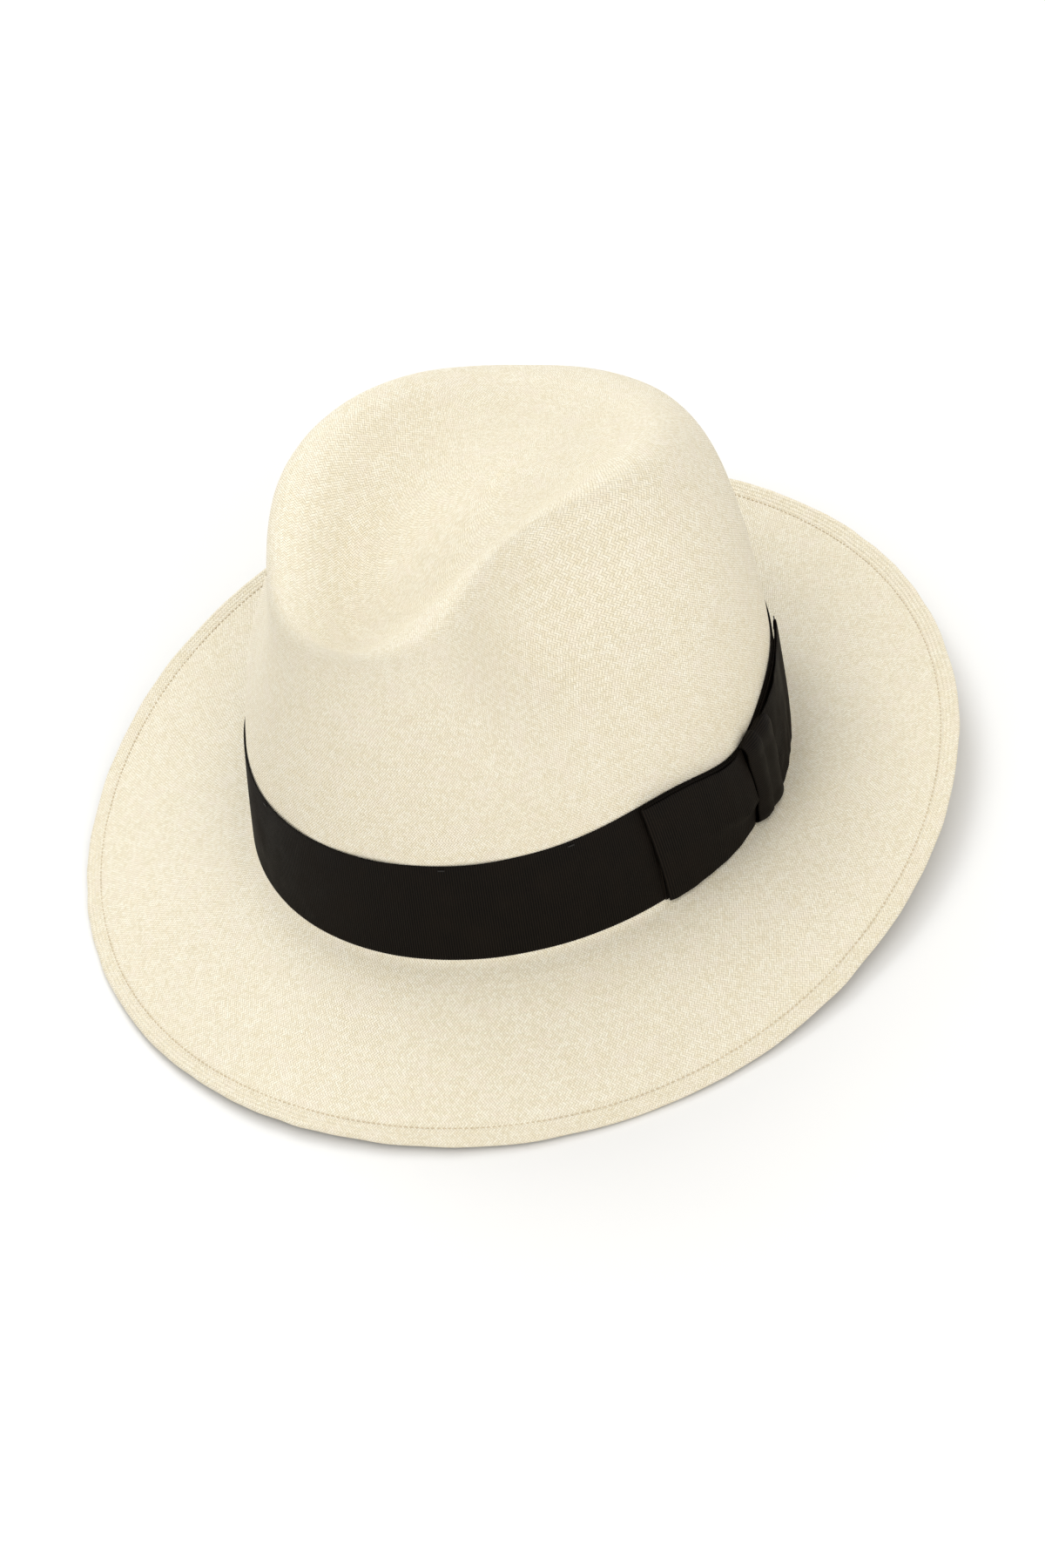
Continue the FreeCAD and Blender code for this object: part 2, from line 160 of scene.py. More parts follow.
SMALL_RIBBON = 0.8         # half width of the narrow ribbon
SMALL_KNOT_SHARE = 0.55    # width of the small knot, as a share of the ribbon's

CAMERA_TURN = math.radians(34.1)
CAMERA_RISE = math.radians(36.8)
CAMERA_ROLL = math.radians(-7.4)
CAMERA_DISTANCE = 1918.0
CAMERA_TARGET = np.array([0.0, 0.0, 45.0])
SENSOR_WIDTH = 36
AIM_RIGHT = 5.3
AIM_UP = -40.6
LENS = 199.2

random = np.random.default_rng(41)


# ---- splines ------------------------------------------------------------------------------
def bump(angle, centre, spread):
    turn = (np.asarray(angle, float) - centre + 180) % 360 - 180
    return np.exp(-((turn / spread) ** 2))


def smooth(value, low, high):
    """Smooth step from 0 at low to 1 at high."""
    part = np.clip((np.asarray(value, float) - low) / (high - low), 0, 1)
    return part * part * (3 - 2 * part)


def crown_ring(row):
    """Poles of one row of the crown. egg narrows its front, and lean shifts it to the wearer's right."""
    half_width, y_front, y_back, z_front, z_side, z_back, egg, lean, left_pinch, right_pinch = row
    degrees = np.arange(RING_POLES) * 360 / RING_POLES
    c = np.cos(np.radians(degrees))
    s = np.sin(np.radians(degrees))
    pinch = left_pinch * bump(degrees, LEFT_PINCH_ANGLE, PINCH_SPREAD)
    pinch += right_pinch * bump(degrees, -RIGHT_PINCH_ANGLE, PINCH_SPREAD)
    y = (y_front + y_back) / 2 - (y_back - y_front) / 2 * c
    shift = lean * np.exp(-(((y - LEAN_Y) / LEAN_SPREAD) ** 2))
    x = half_width * s * (1 - egg * c) - pinch * s - shift
    mean = (z_front + z_back) / 4 + z_side / 2
    twice = (z_front + z_back) / 4 - z_side / 2
    z = mean + (z_front - z_back) / 2 * c + twice * np.cos(2 * np.radians(degrees))
    return np.stack([x * POLE_GAIN, y * POLE_GAIN, z], -1)


def brim_ring(reach, lift):
    a = np.arange(RING_POLES) * 2 * math.pi / RING_POLES
    half_width = HEAD_HALF_WIDTH + (EDGE_HALF_WIDTH - HEAD_HALF_WIDTH) * reach
    half_length = HEAD_HALF_LENGTH + (EDGE_HALF_LENGTH - HEAD_HALF_LENGTH) * reach
    edge = -EDGE_DROP - EDGE_SNAP * np.cos(a) + EDGE_WAVE * np.cos(3 * a)
    x = half_width * np.sin(a)
    y = -half_length * np.cos(a) - EDGE_FORWARD * reach
    return np.stack([x * POLE_GAIN, y * POLE_GAIN, edge * reach ** BRIM_CURL + lift], -1)


CROWN = np.array([crown_ring(row) for row in CROWN_ROWS])
BRIM = np.array([brim_ring(reach, lift) for reach, lift in BRIM_ROWS])


def row_weights(count, v):
    """Weights of the rows of a clamped cubic spline, for each v from 0 to 1."""
    knots = np.concatenate([[0.0] * 3, np.linspace(0, 1, count - 2), [1.0] * 3])
    v = np.clip(v, 0, 1 - 1e-9)[:, None]
    weights = ((knots[:-1] <= v) & (v < knots[1:])).astype(float)
    for degree in (1, 2, 3):
        size = len(knots) - degree - 1
        rise = knots[degree:degree + size] - knots[:size]
        fall = knots[degree + 1:degree + 1 + size] - knots[1:1 + size]
        up = np.where(rise > 0, (v - knots[:size]) / np.where(rise > 0, rise, 1), 0)
        ahead = knots[degree + 1:degree + 1 + size] - v
        down = np.where(fall > 0, ahead / np.where(fall > 0, fall, 1), 0)
        weights = up * weights[:, :size] + down * weights[:, 1:size + 1]
    return weights


def on_surface(poles, v, angles):
    """Points of a surface, which goes right round the hat, at each v and angle."""
    v, angles = np.broadcast_arrays(np.asarray(v, float), np.asarray(angles, float))
    turn = angles.ravel() / 360 * RING_POLES
    first = np.floor(turn).astype(int)
    s = turn - first
    parts = [(1 - s) ** 3, 3 * s**3 - 6 * s**2 + 4, -3 * s**3 + 3 * s**2 + 3 * s + 1, s**3]
    around = np.stack(parts, -1) / 6
    across = row_weights(len(poles), v.ravel())
    points = np.zeros((s.size, 3))
    for k in range(4):
        column = poles[:, (first + k - 1) % RING_POLES]
        points += around[:, k, None] * np.einsum("nr,rnc->nc", across, column)
    return points.reshape(v.shape + (3,))


def normals(poles, v, angles, side):
    """Unit normals. side is 1 on the crown and -1 on the brim, for out and up."""
    step = 1e-3
    v = np.clip(v, step, 1 - step)
    angles = np.asarray(angles)
    round_it = on_surface(poles, v, angles + 0.2) - on_surface(poles, v, angles - 0.2)
    up_it = on_surface(poles, v + step, angles) - on_surface(poles, v - step, angles)
    n = np.cross(round_it, up_it) * side
    return n / np.linalg.norm(n, axis=-1, keepdims=True)


def wall_points(angles, heights, offsets):
    """Points off the crown's wall, at these angles and heights above the head plane."""
    angles, heights, offsets = np.broadcast_arrays(angles, heights, offsets)
    low = np.zeros(angles.shape)
    high = np.full(angles.shape, 0.3)
    for _ in range(22):
        middle = (low + high) / 2
        below = on_surface(CROWN, middle, angles)[..., 2] < heights
        low = np.where(below, middle, low)
        high = np.where(below, high, middle)
    points = on_surface(CROWN, low, angles)
    drop = np.minimum(heights - points[..., 2], 0)
    points[..., 2] += drop                      # below the split the wall goes straight down
    return points + normals(CROWN, low, angles, 1) * offsets[..., None]


def even_angles(points, angles, count):
    """Angles that divide a closed line of points into stretches of one length."""
    steps = np.linalg.norm(np.diff(points, axis=0), axis=1)
    run = np.concatenate([[0], np.cumsum(steps)])
    stops = np.linspace(0, run[-1], count + 1)
    return np.interp(stops, run, angles)[:-1], run[-1]


# ---- the frame ----------------------------------------------------------------------------
def tipped(points):
    y = points[..., 1] * math.cos(HEAD_TIP) + points[..., 2] * math.sin(HEAD_TIP)
    z = -points[..., 1] * math.sin(HEAD_TIP) + points[..., 2] * math.cos(HEAD_TIP)
    return np.stack([points[..., 0], y, z], -1)


def find_stand():
    """How far the tipped hat moves onto the frame's crown and brim."""
    v, angles = np.meshgrid(np.linspace(0, 1, 201), np.arange(0, 360, 1.0), indexing="ij")
    top = tipped(on_surface(CROWN, v, angles))[..., 2].max()
    front = tipped(on_surface(BRIM, v, angles))[..., 1].min()
    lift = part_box("woven_crown_top")[1][2] / MM - top
    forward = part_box("woven_brim")[0][1] / MM - front
    return np.array([0, forward, lift])


STAND = find_stand()


def to_frame(points):
    return (tipped(np.asarray(points, float)) + STAND) * MM


# ---- meshes -------------------------------------------------------------------------------
def finish_mesh(name, points, faces, uv=None, uv_name="cloth"):
    mesh = bpy.data.meshes.new(name)
    mesh.from_pydata(points.reshape(-1, 3).tolist(), [], faces)
    mesh.polygons.foreach_set("use_smooth", [True] * len(mesh.polygons))
    if uv is not None:
        layer = mesh.uv_layers.new(name=uv_name)
        layer.data.foreach_set("uv", np.asarray(uv, np.float32).ravel())
    mesh.update()
    piece = bpy.data.objects.new(name, mesh)
    bpy.context.scene.collection.objects.link(piece)
    return piece


def skin(name, rings, around, along, scale=None, wrap=False, uv_name="cloth"):
    """Closed mesh over rings of points. uv is around * scale[strip] and along."""
    count, width = rings.shape[:2]
    strips = count if wrap else count - 1
    scale = np.ones(strips) if scale is None else np.asarray(scale, float)
    i, j = np.meshgrid(np.arange(strips), np.arange(width), indexing="ij")
    near = i * width
    far = (i + 1) % count * width
    corners = [near + j, near + (j + 1) % width, far + (j + 1) % width, far + j]
    quads = np.stack(corners, -1).reshape(-1, 4)
    x = scale[:, None] * around[None, :]
    u = np.stack([x[:, :-1], x[:, 1:], x[:, 1:], x[:, :-1]], -1)
    low = np.broadcast_to(along[:strips, None], (strips, width))
    high = np.broadcast_to(along[1:strips + 1, None], (strips, width))
    uv = np.stack([u, np.stack([low, low, high, high], -1)], -1).reshape(-1, 4, 2)
    flat = to_frame(rings).reshape(-1, 3)
    a, b, c, d = (flat[quads[:, k]] for k in range(4))
    volume = (a * np.cross(b, c)).sum() + (a * np.cross(c, d)).sum()
    if volume < 0:
        quads = quads[:, ::-1]
        uv = uv[:, ::-1]
    faces = quads.tolist()
    uv = uv.reshape(-1, 2)
    if not wrap:
        first = list(range(width))
        last = [(count - 1) * width + k for k in range(width)]
        ends = [first, last[::-1]] if volume < 0 else [first[::-1], last]
        faces += ends
        caps = [np.tile([0.5, math.floor(along[k])], (width, 1)) for k in (0, -1)]
        uv = np.concatenate([uv] + caps)
    return finish_mesh(name, flat, faces, uv, uv_name)


def capsules(name, centres, runs, ups, length, radius):
    """Many short threads as one mesh, each along its run and bent down at both ends."""
    sections = [(-0.5, 0.0, -1.0), (-0.46, 0.6, -0.7), (-0.3, 1.0, -0.15), (0, 1.0, 0.0),
                (0.3, 1.0, -0.15), (0.46, 0.6, -0.7), (0.5, 0.0, -1.0)]
    sides = 6
    sideways = np.cross(runs, ups)
    points = []
    for along, size, dip in sections:
        for k in range(sides):
            turn = 2 * math.pi * k / sides
            thick = max(size, 0.05) * radius
            point = centres + runs * along * length + ups * dip * radius
            points.append(point + sideways * thick * math.cos(turn) + ups * thick * math.sin(turn))
    points = np.stack(points, 1)
    faces = []
    per_stitch = len(sections) * sides
    for n in range(len(centres)):
        base = n * per_stitch
        for i in range(len(sections) - 1):
            for k in range(sides):
                near = base + i * sides
                far = near + sides
                faces.append((near + k, far + k, far + (k + 1) % sides, near + (k + 1) % sides))
        faces.append(tuple(base + k for k in range(sides)))
        faces.append(tuple(base + per_stitch - 1 - k for k in range(sides)))
    return finish_mesh(name, to_frame(points), faces)


# ---- the straw body -----------------------------------------------------------------------
WAVE_COUNT = 36
wave_lengths = random.uniform(18, 70, WAVE_COUNT)
wave_ways = random.normal(size=(WAVE_COUNT, 3))
wave_ways *= (2 * math.pi / wave_lengths / np.linalg.norm(wave_ways, axis=1))[:, None]
wave_starts = random.uniform(0, 2 * math.pi, WAVE_COUNT)


def unevenness(points):
    """Smooth, even-handed wandering from about -1 to 1 over the hat."""
    return np.sin(points @ wave_ways.T + wave_starts).sum(-1) / math.sqrt(WAVE_COUNT) / 1.6


def straw_path():
    """Rings of the weave's section: base points, unit normals and depths under the top face.
    It runs from the dent over the crown and brim, round the hem, and back along the inside."""
    angles = np.arange(STRAW_COLUMNS) * 360 / STRAW_COLUMNS
    v_table = np.linspace(0, 1, 241)
    crown_runs = np.diff(on_surface(CROWN, v_table[:, None], angles[None, ::20]), axis=0)
    crown_length = np.concatenate([[0], np.cumsum(np.linalg.norm(crown_runs, axis=-1).mean(1))])
    brim_runs = np.diff(on_surface(BRIM, v_table[:, None], angles[None, :]), axis=0)
    brim_length = np.zeros((len(v_table), STRAW_COLUMNS))
    brim_length[1:] = np.cumsum(np.linalg.norm(brim_runs, axis=-1), axis=0)
    width = brim_length[-1]

    def crown_part(count):
        v = np.interp(np.linspace(0, crown_length[-1], count), crown_length, v_table)[:, None]
        return on_surface(CROWN, v, angles), normals(CROWN, v, angles, 1)

    insets = []
    depths = []

    def add_ring(inset, depth):
        insets.append(np.full(STRAW_COLUMNS, inset) if np.isscalar(inset) else inset)
        depths.append(depth)

    def relief(inset):
        ridge = HEM_RELIEF * math.cos(2 * math.pi * inset / HEM_RIDGE) * smooth(inset, 5.9, 5.4)
        return ridge - GROOVE * math.exp(-(((inset - STITCH_INSET) / GROOVE_HALF_WIDTH) ** 2))

    hem_zone = HEM_WIDTH + 1.2
    plain = width - hem_zone
    for part in np.linspace(1, 0, BRIM_RINGS, endpoint=False)[1:]:
        add_ring(hem_zone + plain * part, 0.0)
    for inset in np.arange(hem_zone, STRAW, -HEM_ROW):
        add_ring(inset, -relief(inset))
    for turn in np.linspace(0, math.pi, 9):
        add_ring(STRAW * (1 - math.sin(turn)), STRAW * (1 - math.cos(turn)))
    for inset in np.arange(STRAW + 0.5, HEM_WIDTH - 0.2, 0.45):
        add_ring(inset, 2 * STRAW + relief(inset))
    for past, layers in ((0, 1.85), (0.2, 1.5), (0.15, 1.1), (0.4, 1.0)):
        add_ring(HEM_WIDTH + past, layers * STRAW)
    for part in np.linspace(0, 1, UNDER_RINGS, endpoint=False)[1:]:
        add_ring(hem_zone + plain * part, STRAW)

    reach = np.stack(insets)
    v = np.stack([np.interp(width[k] - reach[:, k], brim_length[:, k], v_table)
                  for k in range(STRAW_COLUMNS)], 1)
    outer, outer_up = crown_part(CROWN_RINGS)
    inner, inner_up = crown_part(INNER_RINGS)
    brim = on_surface(BRIM, v, angles)
    out = np.stack([np.sin(np.radians(angles)), -np.cos(np.radians(angles)), 0 * angles], -1)
    stray = EDGE_STRAY * unevenness(brim[-1 - UNDER_RINGS] * 2.2)
    brim += out * (stray * (1 - reach / width) ** 2)[..., None]
    base = np.concatenate([outer[::-1], brim, inner])
    up = np.concatenate([outer_up[::-1], normals(BRIM, v, angles, -1), inner_up])
    depth = np.concatenate([np.zeros(CROWN_RINGS), depths, np.full(INNER_RINGS, STRAW)])
    return base, up, depth


def straw_body():
    base, up, depth = straw_path()
    rings = base + up * (UNEVENNESS * unevenness(base) - depth[:, None])[..., None]
    runs = np.linalg.norm(np.diff(rings, axis=0), axis=-1).mean(1)
    along = np.concatenate([[0], np.cumsum(runs)]) / STRAND
    girth = np.linalg.norm(rings - np.roll(rings, 1, axis=1), axis=-1).sum(1)
    counts = np.empty(len(runs))
    start = 0
    for k in range(1, len(runs) + 1):
        grown = not 0.8 < girth[min(k, len(runs) - 1)] / girth[start] < 1.25
        if k == len(runs) or grown or (along[k] - along[start]) * STRAND > BAND:
            counts[start:k] = max(6, round(girth[start:k + 1].mean() / STRAND))
            start = k
    around = np.arange(STRAW_COLUMNS + 1) / STRAW_COLUMNS
    return skin("straw_body", rings, around, along, counts, uv_name="weave")


def hem_stitches():
    """Threads above and under the hem, one stitch every STITCH_PITCH round the edge."""
    fine = np.arange(0, 360.5, 0.5)
    ring = brim_places(fine, STITCH_INSET)[0]
    length = np.linalg.norm(np.diff(ring, axis=0), axis=1).sum()
    angles, _ = even_angles(ring, fine, round(length / STITCH_PITCH))
    centres, up = brim_places(angles, STITCH_INSET)
    runs = np.roll(centres, -1, axis=0) - np.roll(centres, 1, axis=0)
    runs /= np.linalg.norm(runs, axis=1, keepdims=True)
    lift = UNEVENNESS * unevenness(centres)[:, None]
    above = centres + up * (lift - GROOVE - STITCH_SINK + STITCH_RADIUS)
    below = centres + up * (lift - 2 * STRAW + GROOVE + STITCH_SINK - STITCH_RADIUS)
    return capsules("hem_threads", np.concatenate([above, below]), np.concatenate([runs, runs]),
                    np.concatenate([up, -up]), STITCH_LENGTH, STITCH_RADIUS)


def brim_places(angles, inset):
    """Points of the brim's top this far in from its edge, and the way up there."""
    v_table = np.linspace(0, 1, 241)
    v = []
    for angle in angles:
        line = on_surface(BRIM, v_table, angle)
        run = np.concatenate([[0], np.cumsum(np.linalg.norm(np.diff(line, axis=0), axis=1))])
        v.append(np.interp(run[-1] - inset, run, v_table))
    v = np.array(v)
    return on_surface(BRIM, v, angles), normals(BRIM, v, angles, -1)


# ---- ribbon -------------------------------------------------------------------------------
SELVEDGE = [(0, 0.5), (0.008, 0.95), (0.03, 1)]


def section_across(rows):
    """Round the ribbon's section: share of its width, 1 on the face or 0 on the back, and
    how far out the edge's scallops reach."""
    middle = np.linspace(0.03, 0.97, rows)[1:-1]
    face = [(h, t) for h, t in SELVEDGE] + [(h, 1) for h in middle] + [(1 - h, t) for h, t in SELVEDGE[::-1]]
    back = [(1 - h, 1 - t) for h, t in SELVEDGE[1:]] + [(0.5, 0)] + [(h, 1 - t) for h, t in SELVEDGE[:0:-1]]
    share = np.array([h for h, t in face + back])
    front = np.array([t for h, t in face + back])
    return share, front


def rib_at(distance):
    return 0.5 + 0.5 * np.cos(2 * math.pi * np.asarray(distance) / RIB)


def ribbon_top(angle):
    return RIBBON_TOP - RIBBON_DIP * bump(angle, DIP_ANGLE, DIP_SPREAD)


def ribbon_band():
    fine = np.arange(0, 360.25, 0.25)
    line = wall_points(fine, RIBBON_TOP / 2, GAP + RIBBON)
    length = np.linalg.norm(np.diff(line, axis=0), axis=1).sum()
    ribs = round(length / RIB)
    angles, length = even_angles(line, fine, ribs * RIB_SAMPLES)
    distance = np.arange(len(angles)) * RIB / RIB_SAMPLES
    share, front = section_across(12)
    rib = rib_at(distance)[:, None]
    foot = RIBBON_FOOT - SCALLOP * rib
    top = ribbon_top(angles)[:, None] + SCALLOP * rib
    height = foot + (top - foot) * share
    middle = wall_points(angles, RIBBON_TOP / 2, 0.0)
    slack = 0.25 * (0.5 + 0.5 * unevenness(middle * 1.6))[:, None]
    gape = slack * (smooth(share, 0.8, 1.0) + 0.6 * smooth(share, 0.12, 0.0))
    offset = GAP + front * (RIBBON - RIB_RELIEF + RIB_RELIEF * rib) + gape
    rings = wall_points(angles[:, None], height, offset)
    along = np.arange(len(angles) + 1) * RIB / RIB_SAMPLES
    around = np.concatenate([share, share[:1]]) * RIBBON_TOP
    return skin("grosgrain_band", rings, around, along, wrap=True), length


# ---- bow ----------------------------------------------------------------------------------
def path_normals(path):
    way = np.gradient(path, axis=0)
    way /= np.linalg.norm(way, axis=1, keepdims=True)
    return np.stack([-way[:, 1], way[:, 0]], 1)


def spread_path(corners, pitch):
    """Points at one spacing along a smooth line through the corners."""
    corners = np.array(corners, float)
    knots = np.concatenate([[0], np.cumsum(np.linalg.norm(np.diff(corners, axis=0), axis=1))])
    slopes = np.gradient(corners, knots, axis=0)
    fine = np.linspace(0, knots[-1], 60 * len(corners))
    k = np.clip(np.searchsorted(knots, fine, side="right") - 1, 0, len(corners) - 2)
    h = (knots[k + 1] - knots[k])[:, None]
    t = (fine - knots[k])[:, None] / h
    line = ((1 + 2 * t) * (1 - t) ** 2 * corners[k] + t * (1 - t) ** 2 * h * slopes[k]
            + t * t * (3 - 2 * t) * corners[k + 1] + t * t * (t - 1) * h * slopes[k + 1])
    run = np.concatenate([[0], np.cumsum(np.linalg.norm(np.diff(line, axis=0), axis=1))])
    stops = np.arange(0, run[-1], pitch)
    return np.stack([np.interp(stops, run, line[:, c]) for c in (0, 1)], 1)


def folded_strip(name, corners, shape, rows=16):
    """Ribbon that runs along the wall on a path of (angle, offset) corners.
    shape(angle, share, side) moves the cloth off its path."""
    path = spread_path([(angle * WALL_TURN, offset) for angle, offset in corners], RIB / RIB_SAMPLES)
    side = path_normals(path)
    distance = np.arange(len(path)) * RIB / RIB_SAMPLES
    rib = rib_at(distance)[:, None]
    share, front = section_across(rows)
    face = (front - 0.5) * RIBBON + (front > 0.6) * RIB_RELIEF * (rib - 1)
    run = path[:, :1] + side[:, :1] * face
    angle = run / WALL_TURN
    out = side[:, 1:]
    turned, lift = shape(angle, share[None, :], out)
    foot = BOW_FOOT - SCALLOP * rib
    top = bow_top(angle) + SCALLOP * rib
    height = foot + (top - foot) * share
    rings = wall_points(angle + turned, height, path[:, 1:] + side[:, 1:] * face + lift)
    along = np.arange(len(path) + 1) * RIB / RIB_SAMPLES
    around = np.concatenate([share, share[:1]]) * RIBBON_TOP
    piece = skin(name, rings, around, along)
    return piece, distance[-1]


def bow_top(angle):
    return ribbon_top(angle) - BOW_INSET


def wrinkle(angle, share, size):
    return size * np.sin(angle * 0.9 + 5 * share + 1.3) * np.sin(angle * 0.37 - 3.1 * share)


def front_loop_shape(angle, share, out):
    """The fold leans back at its foot, and a pleat runs from the knot's lower third."""
    outer = smooth(out, 0.0, 0.9)
    slant = (1 - share) * 2.0 * smooth(angle, 80, 64)
    near_knot = smooth(angle, 74, 92)
    line = 0.42 - 0.09 * smooth(angle, 74, 92)
    over = np.exp(-np.maximum(share - line, 0) / 0.34)
    under = np.exp(-np.maximum(line - share, 0) / 0.035)
    held_down = 1 - 0.25 * smooth(angle, 87, 92)
    pleat = 2.6 * near_knot * held_down * np.where(share > line, over, under)
    belly = 0.5 * np.sin(math.pi * share) * smooth(angle, 64, 74)
    tuck = -1.0 * smooth(share, 0.55, 1.0) * smooth(angle, 84, 92)
    low = -0.5 * smooth(share, 0.3, 0.0) * smooth(angle, 84, 92)
    return slant, outer * (pleat + belly + tuck + low + wrinkle(angle, share, 0.12))


def rear_loop_shape(angle, share, out):
    """Pleats fan out from the knot's foot, and the loop lies flat at its back end."""
    outer = smooth(out, 0.0, 0.9)
    from_knot = smooth(angle, 124, 99)
    fan = np.arctan2(share * RIBBON_TOP, (angle - 95.0) * WALL_TURN)
    folds = 0.55 * from_knot * (0.5 + 0.5 * np.cos(fan * 11 + 0.6)) ** 2
    belly = 0.2 * np.sin(math.pi * share)
    slant = (share - 0.35) * 7.0 * smooth(angle, 110, 124)
    return slant, outer * (folds + belly + wrinkle(angle, share, 0.15))


def bow_front_loop():
    fold = LOOP_FLOOR + 0.9
    corners = [
        (91.8, INNER_LAYER), (80, INNER_LAYER), (67, INNER_LAYER), (64.9, LOOP_FLOOR + 0.35),
        (LOOP_FRONT_ANGLE, fold),
        (64.9, fold + 0.6), (67, fold + 0.9), (76, fold + 1.1), (86, fold + 1.0), (92.3, fold + 0.3),
    ]
    return folded_strip("bow_front_fold", corners, front_loop_shape)


def bow_rear_loop():
    fold = LOOP_FLOOR + 0.8
    corners = [
        (99.2, INNER_LAYER), (110, INNER_LAYER), (121, LOOP_FLOOR + 0.2), (123.2, INNER_LAYER),
        (LOOP_BACK_ANGLE, fold),
        (123.2, fold + 0.15), (118, fold + 0.1), (114, fold + 0.3), (109, fold + 0.9), (104, fold + 0.9),
        (98.7, fold + 0.4),
    ]
    return folded_strip("bow_rear_fold", corners[::-1], rear_loop_shape)


def bow_under_layer():
    def flat(angle, share, out):
        return 0 * angle, 0 * angle * share
    middle = BOW_FLOOR + RIBBON / 2
    corners = [(65.5, middle), (80, middle), (95, middle), (110, middle), (122.5, middle)]
    return folded_strip("bow_inner_layer", corners, flat, rows=8)


def bow_knot():
    """A strip that goes up over the loops, folded lengthwise, and turns in at both ends."""
    middle = (KNOT_FRONT_ANGLE + KNOT_BACK_ANGLE) / 2
    half = (KNOT_BACK_ANGLE - KNOT_FRONT_ANGLE) / 2
    top = float(ribbon_top(middle))
    corners = [
        (RIBBON_FOOT - 0.1, 0.9), (RIBBON_FOOT - 0.5, 2.4), (RIBBON_FOOT + 0.4, 4.4),
        (6, 5.2), (KNOT_WAIST_HEIGHT, 5.5), (24, 5.2),
        (top - 1.2, 4.5), (top + 0.4, 3.2), (top + 0.2, 1.2),
    ]
    path = spread_path(corners, KNOT_STEP)
    side = path_normals(path)
    columns = np.linspace(-1, 1, 33)
    front_fold = smooth(columns, -0.9, -0.45) * smooth(columns, -0.16, -0.24)
    rear_fold = smooth(columns, -0.16, 0.45) * (1 - columns ** 6)
    folds = 0.55 * (front_fold + rear_fold)
    edge = -1.1 * np.abs(columns) ** 5
    share = np.concatenate([columns, columns[::-1]])
    face = np.concatenate([folds + edge, edge[::-1] - RIBBON])
    height, offset = path[:, :1], path[:, 1:]
    waist = 1 - 0.1 * np.exp(-(((height - KNOT_WAIST_HEIGHT) / 9) ** 2))
    lean = 0.8 * (0.5 - height / top)
    twist = 0.15 * np.sin(height * 0.33 + share * 2.0)
    angle = middle + lean * 0.4 + half * waist * share
    rings = wall_points(angle, height + side[:, :1] * face, offset + side[:, 1:] * (face + twist))
    along = np.arange(len(path) + 1) * KNOT_STEP
    around = np.concatenate([share, share[:1]]) * half * WALL_TURN
    return skin("bow_knot_wrap", rings, around, along), len(path) * KNOT_STEP


def round_cord(name, points, radius, sides=8, per_span=8):
    """Short thread through points given off the wall, with rounded ends."""
    points = np.array(points, float)
    t = np.linspace(0, 1, per_span * len(points))
    line = np.stack([np.interp(t, np.linspace(0, 1, len(points)), points[:, c]) for c in range(3)], 1)
    for _ in range(4):
        line[1:-1] = (line[:-2] + 2 * line[1:-1] + line[2:]) / 4
    way = np.gradient(line, axis=0)
    way /= np.linalg.norm(way, axis=1, keepdims=True)
    side = np.cross(way, [0.3, 0.2, 1.0])
    side /= np.linalg.norm(side, axis=1, keepdims=True)
    other = np.cross(way, side)
    place_on = np.arange(len(t))
    from_end = np.minimum(place_on + 0.4, len(t) - 0.6 - place_on)
    size = radius * np.clip(from_end / 1.5, 0.2, 1)
    turn = 2 * math.pi * np.arange(sides) / sides
    spokes = side[:, None] * np.cos(turn)[:, None] + other[:, None] * np.sin(turn)[:, None]
    rings = line[:, None] + spokes * size[:, None, None]
    run = np.concatenate([[0], np.cumsum(np.linalg.norm(np.diff(line, axis=0), axis=1))])
    return skin(name, rings, np.arange(sides + 1) * radius, np.append(run, run[-1]))


def bow_tack():
    """Knotted end of the thread that holds the bow's back end."""
    route = [  # angle, height, offset
        (127.0, 35.0, 1.2), (127.6, 36.3, 1.4), (128.0, 37.4, 1.6), (128.1, 38.3, 2.0), (128.6, 38.9, 1.9),
    ]
    angles, heights, offsets = np.array(route).T
    return round_cord("bow_tack_end", wall_points(angles, heights, offsets), THREAD_RADIUS)


# ---- sweatband ----------------------------------------------------------------------------
def sweatband():
    angles = np.arange(0, 360, 1.0)
    share = np.array([0, 0.01, 0.04, 0.1, 0.2, 0.35, 0.5, 0.65, 0.8, 0.9, 0.96, 0.99,
                      1, 0.99, 0.96, 0.8, 0.5, 0.2, 0.04, 0.01])
    front = np.array([0.5, 0.85, 1, 1, 1, 1, 1, 1, 1, 1, 1, 0.85, 0.5, 0.15, 0, 0, 0, 0, 0, 0.15])
    top = SWEATBAND_TOP + 0.35 * np.sin(np.radians(angles * 5 + 20)) * np.cos(np.radians(angles * 2))
    height = SWEATBAND_FOOT + (top[:, None] - SWEATBAND_FOOT) * share
    middle = wall_points(angles, RIBBON_TOP / 2, 0.0)
    slack = 0.35 * (0.5 + 0.5 * unevenness(middle * 1.9))[:, None]
    offset = LEATHER_BACK - SWEATBAND * front - slack * np.sin(math.pi * share)
    rings = wall_points(angles[:, None], height, offset)
    along = np.arange(len(angles) + 1) / len(angles) * LEATHER_GIRTH
    around = np.concatenate([share, share[:1]]) * (SWEATBAND_TOP - SWEATBAND_FOOT)
    return skin("sweatband_leather", rings, around, along, wrap=True)


